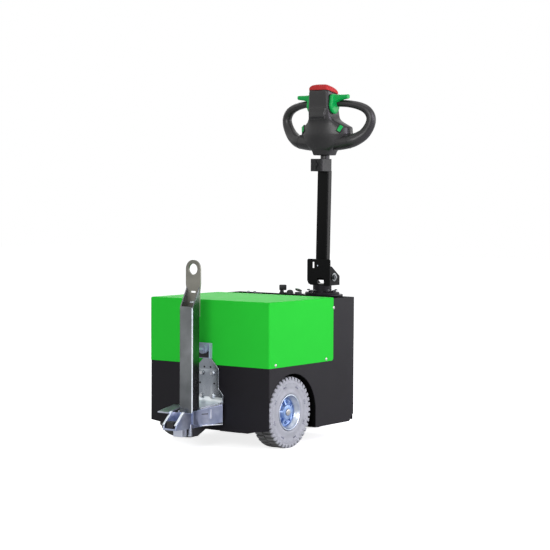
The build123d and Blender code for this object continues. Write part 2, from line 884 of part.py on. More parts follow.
pieces["release_plate"] = plan_profile(
    [
        (-71, -158),
        (-post_half, -178),
        (-post_half, post_front_y),
        (-skirt_out, post_front_y),
        (-skirt_out, -96),
        (-71, -100),
    ],
    127,
    131,
)

# Deck fittings, on the rear deck beside its rear edge
deck_row_y = body_length - 26
key = drum("Z", 13, body_top, body_top + 6, (-36, deck_row_y), 16)
key += drum("Z", 4, body_top + 6, body_top + 12, (-36, deck_row_y), 8)
key += front_profile(
    [(-51, 12), (-28, 12), (-24, 20), (-28, 27), (-40, 26), (-51, 21)],
    deck_row_y - 3,
    deck_row_y + 3,
).moved(Location((0, 0, body_top)))
pieces["key_switch"] = key
pieces["status_lamp"] = drum("Z", 11, body_top, body_top + 9, (0, deck_row_y), 16)
socket = drum("Z", 15, body_top, body_top + 7, (30, deck_row_y))
pieces["charge_socket"] = socket - drum("Z", 11, body_top + 3, body_top + 8, (30, deck_row_y))

# Put the footprint's centre on the origin and write every piece
whole = Compound(children=[Compound(p.solids()) for p in pieces.values()])
box = whole.bounding_box()
shift_y = -(box.min.Y + box.max.Y) / 2
os.makedirs("parts", exist_ok=True)
for name, piece in pieces.items():
    export_step(Pos(0, shift_y, 0) * Compound(piece.solids()), "parts/" + name + ".step")
print("nodes", len(pieces))
print("centre of the footprint is", round(-shift_y, 3), "mm behind the front panel")
print("pivot height", pivot_z, "steering column top", column_top)
print("size", round(box.size.X, 1), round(box.size.Y, 1), round(box.size.Z, 1))
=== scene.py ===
# %% [markdown]
# # An electric tow tractor, dressed piece by piece
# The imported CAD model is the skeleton: it fixes every size, place and joint. This lesson gives
# each part its real surface, and models the forms that a plain solid only hints at. Blender
# counts in metres and the drawings in millimetres, so two small helpers convert. -Y is the hitch
# end, +Y the tiller end, and the wheels stand on z = 0.

# %% Load the frame
import bpy
import bmesh
import json
from math import radians, sin, cos, pi
from mathutils import Vector, Matrix


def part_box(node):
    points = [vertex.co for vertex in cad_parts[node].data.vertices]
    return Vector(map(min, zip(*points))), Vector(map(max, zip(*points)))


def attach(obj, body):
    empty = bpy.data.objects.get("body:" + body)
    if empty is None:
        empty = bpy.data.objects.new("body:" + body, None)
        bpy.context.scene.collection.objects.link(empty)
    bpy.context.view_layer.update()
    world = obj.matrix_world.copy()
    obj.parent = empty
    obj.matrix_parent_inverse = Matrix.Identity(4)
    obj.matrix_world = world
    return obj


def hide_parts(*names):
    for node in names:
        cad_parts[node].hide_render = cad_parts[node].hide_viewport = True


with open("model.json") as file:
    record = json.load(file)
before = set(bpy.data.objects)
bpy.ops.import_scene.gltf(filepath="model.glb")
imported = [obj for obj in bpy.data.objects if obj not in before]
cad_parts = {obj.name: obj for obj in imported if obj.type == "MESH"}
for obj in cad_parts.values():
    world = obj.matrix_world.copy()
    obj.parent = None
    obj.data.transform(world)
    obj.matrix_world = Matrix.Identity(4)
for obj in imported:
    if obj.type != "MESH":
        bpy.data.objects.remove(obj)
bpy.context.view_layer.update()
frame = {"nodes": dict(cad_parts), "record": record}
nodes, record = frame["nodes"], frame["record"]

# %% Drawing millimetres
# The front panel's outer face is the datum that the drawings were made from.
panel_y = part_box("front_panel")[0][1]


def mm(*values):
    """Millimetres to metres, for one number or a point."""
    if len(values) == 1:
        return values[0] / 1000
    return Vector(v / 1000 for v in values)


def at(x, y, z):
    """A point given in drawing millimetres, y counted from the front panel."""
    return Vector((x / 1000, y / 1000 + panel_y, z / 1000))


def linked(name, data):
    """A new object that holds this data, linked into the scene."""
    obj = bpy.data.objects.new(name, data)
    bpy.context.scene.collection.objects.link(obj)
    return obj


def wired(tree, kind, sockets=()):
    """A new node whose inputs are set to values or wired to other nodes' outputs."""
    node = tree.nodes.new("ShaderNode" + kind)
    for socket, value in dict(sockets).items():
        if isinstance(value, bpy.types.NodeSocket):
            tree.links.new(value, node.inputs[socket])
        else:
            node.inputs[socket].default_value = value
    return node


print("front panel at y", round(panel_y, 4))

# %% [markdown]
# ## The camera
# The photograph was taken from the hitch end, a little to the right and just above the cover.
# A camera could be placed by eye, but these numbers come from solving the corners of the box, so
# the model lands where the real machine does. The long lens keeps its edges nearly parallel.

# %% Camera
sensor_mm, picture_px, focal_px = 36, 550, 1753.3
yaw, pitch, roll = radians(-36.093), radians(2.887), radians(0.280)
camera_data = bpy.data.cameras.new("camera")
camera = linked("camera", camera_data)
camera_data.sensor_width = sensor_mm
camera_data.lens = focal_px * sensor_mm / picture_px
camera_data.clip_end = 60
forward = Vector((sin(yaw) * cos(pitch), cos(yaw) * cos(pitch), -sin(pitch)))
level_right = Vector((cos(yaw), -sin(yaw), 0))
level_up = level_right.cross(forward)
right = level_right * cos(roll) + level_up * sin(roll)
up = level_up * cos(roll) - level_right * sin(roll)
turn = Matrix((right, up, -forward)).transposed().to_4x4()
camera.matrix_world = Matrix.Translation(at(3611.4, -4580.6, 869.2)) @ turn
bpy.context.scene.camera = camera
bpy.context.scene.view_settings.view_transform = "Standard"
print("lens", round(camera_data.lens, 1), "mm")

# %% [markdown]
# ## Light and backdrop
# A product shot on white: big soft lamps, so that the powder coat shades gently and the zinc
# has something to reflect. A bright world alone would flatten every form. So only the camera and
# the reflections see white, and the light comes from the lamps and a plain grey world.

# %% Backdrop
world = bpy.data.worlds.new("studio")
bpy.context.scene.world = world
world.use_nodes = True
sky = world.node_tree
sky.nodes.clear()
ambient = wired(sky, "Background", {"Color": (0.93, 0.96, 1.0, 1), "Strength": 0.34}).outputs[0]
white = wired(sky, "Background", {"Color": (1, 1, 1, 1), "Strength": 1.0}).outputs[0]
rays = wired(sky, "LightPath").outputs
sees_white = rays["Is Camera Ray"]
for ray in ("Is Transmission Ray", "Is Glossy Ray"):
    either = wired(sky, "Math", {0: sees_white, 1: rays[ray]})
    either.operation = "MAXIMUM"
    sees_white = either.outputs[0]
pick = wired(sky, "MixShader", {0: sees_white, 1: ambient, 2: white})
wired(sky, "OutputWorld", {"Surface": pick.outputs[0]})

# %% Lamps
machine_middle = Vector((0, 0, 0.45))


def softbox(name, place, size, power, color=(1, 1, 1)):
    """A rectangular area lamp at place, turned towards the machine."""
    data = bpy.data.lights.new(name, "AREA")
    data.shape = "RECTANGLE"
    data.size, data.size_y = size
    data.energy = power
    data.color = color
    lamp = linked(name, data)
    lamp.location = place
    lamp.rotation_euler = (machine_middle - Vector(place)).to_track_quat("-Z", "Y").to_euler()
    print("lamp", name, power, "W")


softbox("key_right", (3.4, 0.2, 1.9), (2.0, 2.4), 72, (1.0, 0.93, 1.12))
softbox("fill_front", (1.3, -4.2, 2.0), (1.8, 1.6), 66)
softbox("top", (0.2, 0.3, 3.6), (2.0, 2.0), 9)
softbox("rim_back", (-2.4, 2.8, 2.0), (1.4, 2.0), 30)
softbox("sheen_right", (2.7, 3.5, 1.2), (1.8, 1.8), 34)

# %% [markdown]
# ## Floor
# The floor has to vanish into the white and still take the soft shadow under the wheels. A plain
# white plane would come out grey, so for the camera alone some glow is added to its shading.

# %% Floor
bm = bmesh.new()
bmesh.ops.create_grid(bm, x_segments=1, y_segments=1, size=14)
floor_mesh = bpy.data.meshes.new("floor")
bm.to_mesh(floor_mesh)
bm.free()
floor = linked("floor", floor_mesh)
floor_mat = bpy.data.materials.new("white_floor")
floor_mat.use_nodes = True
ground = floor_mat.node_tree
ground.nodes.clear()
matte = wired(ground, "BsdfDiffuse", {"Color": (0.86, 0.86, 0.86, 1)}).outputs[0]
glow = wired(ground, "Emission", {"Color": (1, 1, 1, 1), "Strength": 0.80}).outputs[0]
both = wired(ground, "AddShader", {0: matte, 1: glow}).outputs[0]
seen = wired(ground, "LightPath").outputs["Is Camera Ray"]
gate = wired(ground, "MixShader", {0: seen, 1: matte, 2: both})
wired(ground, "OutputMaterial", {"Surface": gate.outputs[0]})
floor_mesh.materials.append(floor_mat)

# %% [markdown]
# ## Finishes
# Every finish is built from nodes on Object coordinates, which need no unwrapping and stay put
# when a part moves. Noise varies the colour and the roughness, and a fine bump gives the grain of
# the real surface: orange peel on powder coat, streaks on zinc, a leathery grain on plastic.

# %% Finish helper


class Finish:
    """A node material that is being built, with short calls for the usual steps."""

    def __init__(self, name, color, rough, metal=0.0, gleam=0.5):
        self.mat = bpy.data.materials.new(name)
        self.mat.use_nodes = True
        self.tree = self.mat.node_tree
        self.shader = self.tree.nodes["Principled BSDF"].inputs
        self.shader["Base Color"].default_value = (*color, 1)
        self.shader["Roughness"].default_value = rough
        self.shader["Metallic"].default_value = metal
        self.shader["Specular IOR Level"].default_value = gleam
        self.spot = wired(self.tree, "TexCoord").outputs["Object"]
        self.normal = None

    def noise(self, scale, detail=3.0, rough=0.5, stretch=(1, 1, 1)):
        """A noise field on Object coordinates, stretched by axis where that is asked."""
        spot = wired(self.tree, "Mapping", {"Vector": self.spot, "Scale": stretch}).outputs[0]
        sockets = {"Vector": spot, "Scale": scale, "Detail": detail, "Roughness": rough}
        return wired(self.tree, "TexNoise", sockets).outputs["Fac"]

    def ramp(self, source, stops):
        """Turns a field into colours, from (position, colour) stops."""
        node = wired(self.tree, "ValToRGB", {"Fac": source})
        elements = node.color_ramp.elements
        while len(elements) < len(stops):
            elements.new(0.5)
        for element, (place, color) in zip(elements, stops):
            element.position = place
            element.color = (*color, 1)
        return node.outputs["Color"]

    def paint(self, color_output):
        """Uses a colour field as the base colour."""
        self.tree.links.new(color_output, self.shader["Base Color"])

    def drift(self, source, color, spread, edge):
        """Lets the base colour drift between a darker and a lighter shade."""
        low = tuple(c * (1 - spread) for c in color)
        high = tuple(min(1.0, c * (1 + spread)) for c in color)
        self.paint(self.ramp(source, [(edge, low), (1 - edge, high)]))

    def roughen(self, source, low, high):
        """Spreads the roughness between two values by a field."""
        spread = wired(self.tree, "MapRange", {"Value": source, "To Min": low, "To Max": high})
        self.tree.links.new(spread.outputs["Result"], self.shader["Roughness"])

    def bump(self, source, strength, distance):
        """Adds one layer of bump over those already there."""
        sockets = {"Height": source, "Strength": strength, "Distance": distance}
        if self.normal:
            sockets["Normal"] = self.normal
        self.normal = wired(self.tree, "Bump", sockets).outputs["Normal"]
        self.tree.links.new(self.normal, self.shader["Normal"])


# %% [markdown]
# ### Paint and plastic
# The cover is a vivid green powder coat and the body a satin black one. The handle is dark
# moulded plastic, with green keys and a red cap. Two recipes serve them all, because paint and
# plastic differ only in the size and depth of their grain.

# %% Paint and plastic
def coated(name, color, rough, grain, spread=0.05, gleam=0.25):
    """Powder coat or paint: a slight drift in shade and gloss, and orange peel."""
    f = Finish(name, color, rough, gleam=gleam)
    f.drift(f.noise(5, 4), color, spread, 0.3)
    f.roughen(f.noise(14, 3), rough - 0.06, rough + 0.06)
    f.bump(f.noise(grain, 2), 0.12, 0.0006)
    return f.mat


def moulded(name, color, rough, grain=900, spread=0.08, strength=0.22, gleam=0.3):
    """Moulded plastic: a fine leathery grain."""
    f = Finish(name, color, rough, gleam=gleam)
    f.drift(f.noise(22, 4), color, spread, 0.35)
    f.roughen(f.noise(40, 3), rough - 0.05, rough + 0.07)
    f.bump(f.noise(grain, 2), strength, 0.0004)
    return f.mat


cover_paint = coated("cover_green_powder", (0.025, 0.62, 0.041), 0.6, 700, 0.03, 0.05)
panel_paint = coated("panel_black_powder", (0.0078, 0.0069, 0.0094), 0.46, 900, 0.12, 0.2)
mast_paint = coated("mast_gloss_black", (0.0016, 0.0016, 0.0019), 0.24, 300, 0.1, 0.12)
# painted shade: the wells are near black so that their insides read as deep shadow
well_shade_paint = coated("well_shadow_black", (0.002, 0.002, 0.002), 0.8, 900, 0.1, 0.05)
deck_paint = coated("deck_matt_black", (0.012, 0.012, 0.012), 0.85, 900, 0.12, 0.0)
bracket_paint = coated("bracket_black_paint", (0.0028, 0.0028, 0.0032), 0.46, 900, 0.1, 0.12)
tab_coat = coated("tab_zinc_coat", (0.34, 0.40, 0.52), 0.36, 300, 0.3, 0.8)
drive_casting = coated("drive_casting", (0.03, 0.03, 0.032), 0.55, 250, 0.15)
handle_plastic = moulded("handle_charcoal_plastic", (0.017, 0.0158, 0.0165), 0.34, gleam=0.5)
soft_plastic = moulded("fitting_black_plastic", (0.014, 0.014, 0.015), 0.4)
clip_plastic = moulded("socket_pale_plastic", (0.62, 0.66, 0.60), 0.35)
battery_case = moulded("battery_case", (0.03, 0.03, 0.035), 0.5)
key_green = moulded("switch_green_plastic", (0.0, 0.40, 0.075), 0.34, 500, 0.05, 0.08)
stop_red = moulded("stop_red_plastic", (0.55, 0.045, 0.045), 0.42, 500, 0.05, 0.06, 0.04)
window_gloss = moulded("window_gloss", (0.008, 0.008, 0.009), 0.16, gleam=0.6)

# %% [markdown]
# ### Zinc and steel
# The hitch and the rims are zinc plated. Plating mirrors its surroundings in soft clouds of grey
# and blue, and each part leans to another tint, so one recipe takes three tints for each part.
# A flat grey metal would look like chrome here.

# %% Zinc and steel
def plated(name, dark, mid, light, rough, cloud_scale):
    """Zinc: soft clouds of grey and blue, faint drawn streaks and a slightly uneven gloss."""
    f = Finish(name, mid, rough, 1.0)
    f.paint(f.ramp(f.noise(cloud_scale, 3, 0.5), [(0.3, dark), (0.5, mid), (0.72, light)]))
    f.roughen(f.noise(26, 4, 0.6), rough - 0.05, rough + 0.10)
    f.bump(f.noise(34, 3, 0.5, (1, 1, 0.25)), 0.10, 0.0006)
    f.bump(f.noise(420, 2), 0.05, 0.0002)
    return f.mat


metal_rows = [
    # name, darkest, middle and lightest tint, roughness, scale of the clouds
    ("hitch_zinc", (0.115, 0.12, 0.126), (0.16, 0.17, 0.175), (0.24, 0.25, 0.265), 0.22, 9),
    # painted highlight: a pale zinc for bends, lips and edges where the plating catches the sky
    ("painted_highlight_zinc", (0.66, 0.74, 0.80), (0.78, 0.84, 0.88), (0.88, 0.92, 0.94), 0.36, 9),
    ("plate_zinc", (0.27, 0.30, 0.33), (0.36, 0.39, 0.43), (0.52, 0.55, 0.58), 0.24, 9),
    ("foot_pale_zinc", (0.44, 0.47, 0.56), (0.56, 0.59, 0.68), (0.72, 0.75, 0.82), 0.3, 9),
    ("bolt_zinc", (0.50, 0.52, 0.54), (0.64, 0.66, 0.68), (0.80, 0.82, 0.83), 0.28, 60),
    ("jaw_blue_zinc", (0.30, 0.35, 0.50), (0.44, 0.49, 0.64), (0.66, 0.71, 0.84), 0.32, 22),
    ("rim_bright_zinc", (0.40, 0.46, 0.56), (0.50, 0.55, 0.63), (0.62, 0.66, 0.73), 0.34, 30),
    ("rim_blue_zinc", (0.18, 0.28, 0.50), (0.28, 0.40, 0.64), (0.42, 0.54, 0.76), 0.46, 40),
    ("bare_steel", (0.40, 0.39, 0.37), (0.50, 0.49, 0.47), (0.60, 0.59, 0.57), 0.38, 40),
    ("eye_olive_steel", (0.21, 0.21, 0.18), (0.27, 0.265, 0.23), (0.33, 0.32, 0.28), 0.42, 12),
]
(hitch_zinc, highlight_zinc, plate_zinc, foot_zinc, bolt_zinc, jaw_zinc, rim_zinc, dish_zinc,
 bare_steel, eye_steel) = (plated(*row) for row in metal_rows)
print(len(metal_rows), "metals")

# %% [markdown]
# ### Rubber
# The drive tyres are the pale grey, non-marking kind. Their tread is darker between the
# shoulders. A painted mask could show that, but the distance from the tyre's middle plane tells
# the shader all it needs, on both wheels at once.

# %% Rubber
def rubber(name, color, rough, spread):
    """Rubber: dusty patches, a fine grain and moulding marks."""
    f = Finish(name, color, rough)
    f.drift(f.noise(30, 6, 0.62), color, spread, 0.3)
    f.roughen(f.noise(60, 3), rough - 0.08, rough + 0.06)
    f.bump(f.noise(420, 3), 0.25, 0.0005)
    return f


def darker_tread_band(f, wheel_middle, half_width, band_color):
    """Darkens the tread between the shoulders, where the tyre meets the floor."""
    field = wired(f.tree, "SeparateXYZ", {0: f.spot}).outputs["X"]
    for operation, value in (
        ("ABSOLUTE", 0), ("SUBTRACT", wheel_middle), ("ABSOLUTE", 0), ("DIVIDE", 2 * half_width),
    ):
        step = wired(f.tree, "Math", {0: field, 1: value})
        step.operation = operation
        field = step.outputs[0]
    plain_color = f.shader["Base Color"].links[0].from_socket
    mask = f.ramp(field, [(0.40, (0, 0, 0)), (0.475, (1, 1, 1))])
    mix = wired(f.tree, "Mix")
    mix.data_type = "RGBA"
    mix.inputs["A"].default_value = (*band_color, 1)
    f.tree.links.new(mask, mix.inputs["Factor"])
    f.tree.links.new(plain_color, mix.inputs["B"])
    f.paint(mix.outputs["Result"])
    return f.mat


grey_tyre_finish = rubber("tyre_grey_rubber", (0.41, 0.425, 0.445), 0.74, 0.09)
# the tread band between the shoulders is darker than the walls
tyre_grey = darker_tread_band(grey_tyre_finish, 0.205, 0.036, (0.12, 0.12, 0.115))
mark_rubber = rubber("tyre_mark_rubber", (0.25, 0.26, 0.31), 0.74, 0.09).mat
tyre_dark = rubber("tyre_dark_rubber", (0.035, 0.036, 0.038), 0.7, 0.2).mat
pad_rubber = rubber("pad_black_rubber", (0.012, 0.012, 0.013), 0.6, 0.2).mat

# %% [markdown]
# ### Painting the solids
# The record gives each solid a material slot, so one finish for each slot dresses nearly all of
# them. A few solids differ from the rest of their slot and are named.

# %% Painting the solids
by_slot = {
    "cover_green": cover_paint, "panel_black": panel_paint, "plastic_black": handle_plastic,
    "gloss_black": mast_paint, "zinc": hitch_zinc, "steel": bare_steel, "tyre_grey": tyre_grey,
    "tyre_dark": tyre_dark, "rubber_black": pad_rubber, "stop_red": stop_red,
    "button_green": key_green, "lamp_clear": clip_plastic, "cast_black": drive_casting,
    "battery_case": battery_case,
}
by_node = {"hitch_plate": plate_zinc, "hitch_foot": foot_zinc, "tiller_bracket": bracket_paint,
           "rear_deck": deck_paint}
for finish, names in (
    (jaw_zinc, ("hitch_jaw", "hitch_skirt_left", "hitch_skirt_right")),
    (well_shade_paint, ("wheel_well_left", "wheel_well_right")),
    (soft_plastic, ("mast_clamp", "clamp_bolt")),
):
    by_node.update(dict.fromkeys(names, finish))
for part in record["subparts"]:
    node = nodes[part["node"]]
    finish = by_node.get(part["node"], by_slot[part["material_slot"]])
    node.data.materials.clear()
    node.data.materials.append(finish)
print("painted", len(nodes), "solids")

# %% [markdown]
# ## From a bmesh to a piece
# Each new piece starts as a bmesh, is shaped by operators, and is then linked at the origin
# with its finish and the body that it rides on. One helper does that for every piece, so none is
# left without a body. A Bevel modifier finishes its sharp edges, which needs no list of them.

# %% Piece helper
bodies = record["behaviour"]["bodies"].items()
body_of = {solid: body for body, solids in bodies for solid in solids}


def soften(obj, radius, angle=35):
    """Rounds every edge that is sharper than an angle, by a radius in millimetres."""
    mod = obj.modifiers.new("edges", "BEVEL")
    mod.width = mm(radius)
    mod.segments = 2
    mod.limit_method = "ANGLE"
    mod.angle_limit = radians(angle)
    mod.harden_normals = True


def subdivide(obj, levels):
    """Turns a creased cage into a moulded surface."""
    sub = obj.modifiers.new("moulding", "SUBSURF")
    sub.levels = sub.render_levels = levels


def piece(name, bm, finish, body, stands_for=(), smooth=35, bevel=None):
    """Turns a bmesh into a piece that rides on a body, with its edges bevelled in millimetres."""
    bmesh.ops.remove_doubles(bm, verts=bm.verts, dist=1e-6)
    bmesh.ops.recalc_face_normals(bm, faces=bm.faces)
    mesh = bpy.data.meshes.new(name)
    bm.to_mesh(mesh)
    bm.free()
    mesh.materials.append(finish)
    obj = linked(name, mesh)
    for polygon in mesh.polygons:
        polygon.use_smooth = True
    mesh.set_sharp_from_angle(angle=radians(smooth))
    if bevel:
        soften(obj, bevel, smooth)
    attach(obj, body)
    if stands_for:
        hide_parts(*stands_for)
    print(name, len(mesh.polygons), "faces, on", body)
    return obj


def stand_in(solid, name, bm, finish, smooth=35, bevel=None):
    """A piece in place of a solid, on the same body."""
    return piece(name, bm, finish, body_of[solid], (solid,), smooth, bevel)


# %% [markdown]
# ## Shape makers
# A few starts serve every piece: a profile spun about an axle, one block repeated round it, a
# rounded box, a drum, and a flat outline extruded. Typed lists of faces could make these too,
# but an operator says in one line what the shape is.

# %% Moving and joining
hands = (("right", 1), ("left", -1))


def rotated(bm, angle, axis, centre=(0, 0, 0)):
    """Turns a whole bmesh about an axis."""
    bmesh.ops.rotate(bm, verts=bm.verts, cent=centre, matrix=Matrix.Rotation(angle, 3, axis))
    return bm


def placed(bm, x, y, z, side=1):
    """Moves a bmesh to its place in drawing millimetres, turned outwards on the left side."""
    if side < 0:
        rotated(bm, pi, "Z")
    bmesh.ops.translate(bm, verts=bm.verts, vec=at(x, y, z))
    return bm


def joined(*parts):
    """One bmesh out of several."""
    whole = bmesh.new()
    for part in parts:
        scratch = bpy.data.meshes.new("scratch")
        part.to_mesh(scratch)
        part.free()
        whole.from_mesh(scratch)
        bpy.data.meshes.remove(scratch)
    return whole


# %% Round shapes
def spun(profile, steps):
    """A closed profile of (x, radius) points in millimetres, spun about the X axis."""
    bm = bmesh.new()
    verts = [bm.verts.new(mm(x, 0, r)) for x, r in profile]
    for a, b in zip(verts, verts[1:] + verts[:1]):
        bm.edges.new((a, b))
    bmesh.ops.spin(
        bm, geom=bm.verts[:] + bm.edges[:], cent=(0, 0, 0), axis=(1, 0, 0),
        angle=2 * pi, steps=steps, use_merge=True, use_duplicate=False,
    )
    return bm


def repeat_round(bm, count, start=0.0):
    """Copies all of a bmesh round the X axis, from one block to a full ring."""
    rotated(bm, start, "X")
    bmesh.ops.spin(
        bm, geom=bm.verts[:] + bm.edges[:] + bm.faces[:], cent=(0, 0, 0), axis=(1, 0, 0),
        angle=2 * pi * (count - 1) / count, steps=count - 1, use_duplicate=True,
    )
    return bm


def drum(radius, depth, segments, top_radius=None):
    """An upright drum about the origin in millimetres, or a cone with another top radius."""
    bm = bmesh.new()
    bmesh.ops.create_cone(
        bm, cap_ends=True, segments=segments, radius1=mm(radius),
        radius2=mm(top_radius or radius), depth=mm(depth),
    )
    return bm


def disc(x, y, z, radius, depth, segments=48):
    """A short drum along Y about a point in drawing millimetres."""
    return placed(rotated(drum(radius, depth, segments), pi / 2, "X"), x, y, z)


# %% Straight shapes
def rounded(bm, edges, radius, steps):
    """Rounds some edges of a bmesh by a radius in millimetres."""
    return bmesh.ops.bevel(
        bm, geom=edges, offset=mm(radius), segments=steps, profile=0.5,
        affect="EDGES", material=-1,
    )


def block(x0, x1, y0, y1, z0, z1, radius=0.0, steps=2):
    """A box between two corners in millimetres, with rounded edges."""
    bm = bmesh.new()
    bmesh.ops.create_cube(bm, size=1)
    middle = mm((x0 + x1) / 2, (y0 + y1) / 2, (z0 + z1) / 2)
    bmesh.ops.scale(bm, vec=mm(x1 - x0, y1 - y0, z1 - z0), verts=bm.verts)
    bmesh.ops.translate(bm, vec=middle, verts=bm.verts)
    if radius:
        rounded(bm, bm.edges[:], radius, steps)
    return bm


def extruded(corners, along):
    """A flat outline of points, extruded along a vector."""
    bm = bmesh.new()
    face = bm.faces.new([bm.verts.new(corner) for corner in corners])
    grown = bmesh.ops.extrude_face_region(bm, geom=[face])
    moved = [v for v in grown["geom"] if isinstance(v, bmesh.types.BMVert)]
    bmesh.ops.translate(bm, verts=moved, vec=along)
    return bm


def prism(outline, x0, x1):
    """A bar along X from a (y, z) outline in drawing millimetres."""
    return extruded([at(x0, y, z) for y, z in outline], mm(x1 - x0, 0, 0))


# %% [markdown]
# ## Edges of the sheet metal
# Panels of 3 mm steel are cut and powder coated, so their edges are round by less than a
# millimetre. The hitch is thicker plate, and its edges are softer. The solids already have the
# right form, so a merged copy of each gets a small bevel, which is what catches the light.

# %% Bevelled copies
def merged(node):
    """A bmesh of a node's solid with its doubles merged and its flat facets joined."""
    bm = bmesh.new()
    bm.from_mesh(nodes[node].data)
    bmesh.ops.remove_doubles(bm, verts=bm.verts, dist=2e-6)
    bmesh.ops.dissolve_limit(bm, angle_limit=radians(0.5), verts=bm.verts, edges=bm.edges)
    return bm


edge_rows = [
    # nodes, edge radius in mm
    (("front_panel", "side_panel_left", "side_panel_right", "rear_panel", "rear_deck"), 0.9),
    (("rear_nose", "bearing_flange", "turret", "caster_fork", "tiller_bracket"), 0.8),
    (("hitch_plate", "hitch_skirt_left", "hitch_skirt_right"), 1.2),
    (("hitch_jaw", "hitch_foot"), 1.4),
    (("jaw_pad", "bumper_block", "mast_clamp", "clamp_bolt", "tiller_neck"), 1.2),
    (("transaxle", "battery_pack", "floor_plate"), 0.8),
    (("hood",), 1.8),
]
for names, radius in edge_rows:
    for node in names:
        finish = nodes[node].data.materials[0]
        stand_in(node, node + "_edged", merged(node), finish, bevel=radius)

# %% [markdown]
# ## The hitch post
# The post is a folded channel: a front wall and two side walls with soft bends between them. Its
# top is cut on a slope, so the eye plate shows inside it. Three flat plates would leave hard
# corners, so the plan outline is extruded upwards, the two bends are bevelled, and one slanted
# plane trims the top. The crest of the right bend catches the sky, and a brighter zinc paints that
# highlight on it.

# %% Post
post_half, post_front, post_rear, wall = 27.5, -122.0, -85.0, 4.0
post_low, front_top, rear_top, bend_radius = 125.0, 468.0, 538.0, 5.0
inner_half, inner_front = post_half - wall, post_front + wall
channel = [
    (-post_half, post_front), (post_half, post_front), (post_half, post_rear),
    (inner_half, post_rear), (inner_half, inner_front), (-inner_half, inner_front),
    (-inner_half, post_rear), (-post_half, post_rear),
]
bm = extruded([at(x, y, post_low) for x, y in channel], mm(0, 0, rear_top - post_low + 5))
bends = [e for e in bm.edges if abs(e.verts[0].co.z - e.verts[1].co.z) > 0.1
         and abs(e.verts[0].co.y - at(0, post_front, 0).y) < 1e-5]
strips = rounded(bm, bends, bend_radius, 4)["faces"]
# The crest is the pair of strips that face the front and the side alike.
crest = sorted((f for f in strips if f.calc_center_median().x > 0),
               key=lambda f: abs(f.normal.x - abs(f.normal.y)))[:2]
for f in crest:
    f.material_index = 1
slope = Vector((0, post_rear - post_front, rear_top - front_top)).normalized()
bmesh.ops.bisect_plane(
    bm, geom=bm.verts[:] + bm.edges[:] + bm.faces[:], plane_co=at(0, post_front, front_top),
    plane_no=Vector((0, -slope.z, slope.y)), clear_outer=True,
)
bmesh.ops.holes_fill(bm, edges=bm.edges, sides=0)
post = stand_in("hitch_post", "hitch_post_channel", bm, hitch_zinc, bevel=0.7)
post.data.materials.append(highlight_zinc)

# %% [markdown]
# ## Shelf, skirts and jaw
# The plate is folded forwards into a shelf that carries the post. Its bend and its top catch the
# sky, so a bright zinc paints that highlight on them. The skirts below have a lip, a welded strip
# and a slot: thin blocks laid on them, which cost fewer faces than cutting them in. The lip gets
# the same painted highlight, and the slot is a black block of painted shade. The jaw gets a short
# bar, cheek edges with the painted highlight, and a release tread.

# %% Shelf
bend = prism([(-8, 169), (-9, 161), (-13, 155.5), (-20, 152.2), (-20, 149), (-8, 149)], -64, 64)
shelf_top = bmesh.new()
shelf_top.faces.new([shelf_top.verts.new(at(x, y, z)) for x, y, z in (
    (-66, -8.5, 153.6), (66, -8.5, 153.6), (33, -84.5, 141.8), (-33, -84.5, 141.8))])
bmesh.ops.solidify(shelf_top, geom=shelf_top.faces[:], thickness=mm(0.6))
piece("shelf_bend", joined(bend, shelf_top), highlight_zinc, "chassis")

# %% Skirts
skirt_rows = [
    # name, share along the skirt from the plate, half length, low z, high z, half thickness, finish
    ("strip", 0.54, 2.6, 103, 134, 2.4, foot_zinc),
    # the slot is a thin black block: painted shade where the slot opens
    ("slot", 0.80, 12.0, 117.5, 120.5, 0.5, pad_rubber),
    ("lip", 0.48, 38.0, 80, 83.5, 4.0, highlight_zinc),
]
for hand, side in hands:
    start, end = Vector((side * 67, -8)), Vector((side * 32, -85))
    along = (end - start).normalized()
    heading = Matrix.Rotation(-Vector((1, 0)).angle_signed(along), 4, "Z")
    for name, share, half, z0, z1, thick, finish in skirt_rows:
        bm = block(-half, half, -thick, thick, z0, z1, 0.4, 1)
        spot = start.lerp(end, share)
        bmesh.ops.transform(bm, matrix=Matrix.Translation(at(*spot, 0)) @ heading, verts=bm.verts)
        piece("skirt_" + name + "_" + hand, bm, finish, "chassis")

# %% Jaw
bm = placed(block(17, 29, 0, 9, 50, 89, 1.2), 0, -131, 0)
piece("jaw_foot_bar", bm, foot_zinc, "chassis")
cheek = [(-205.5, 92), (-207, 94), (-166, 133.5), (-162, 133.5), (-162, 131)]
bm = joined(*(prism(cheek, x - 4, x + 4) for x in (-24.5, 24.5)))
piece("jaw_cheek_edges", bm, highlight_zinc, "chassis", bevel=0.6)
tread = [(-180, 126.5), (-180, 131), (-100, 146), (-96, 146), (-96, 141.5), (-100, 141.5)]
stand_in("release_plate", "release_tread", prism(tread, -71, -27), foot_zinc, bevel=0.8)

# %% [markdown]
# ## Eye plate
# The eye plate stands up behind the post, with a round eye and two slots in it. It is a flat
# outline extruded by its thickness. The holes could be bridged by hand, but a Boolean cuts all
# three at once, and it is applied here so that the bevel after it finds clean edges.

# %% Eye plate
def holed(plate, cutters):
    """Takes the cutters out of a piece and keeps the result as its mesh."""
    tool_mesh = bpy.data.meshes.new("cutter")
    joined(*cutters).to_mesh(tool_mesh)
    tool = linked("cutter", tool_mesh)
    cut = plate.modifiers.new("holes", "BOOLEAN")
    cut.operation = "DIFFERENCE"
    cut.solver = "EXACT"
    cut.object = tool
    bpy.context.view_layer.update()
    evaluated = plate.evaluated_get(bpy.context.evaluated_depsgraph_get())
    whole = bmesh.new()
    whole.from_mesh(evaluated.to_mesh())
    plate.modifiers.clear()
    whole.to_mesh(plate.data)
    whole.free()
    bpy.data.objects.remove(tool)


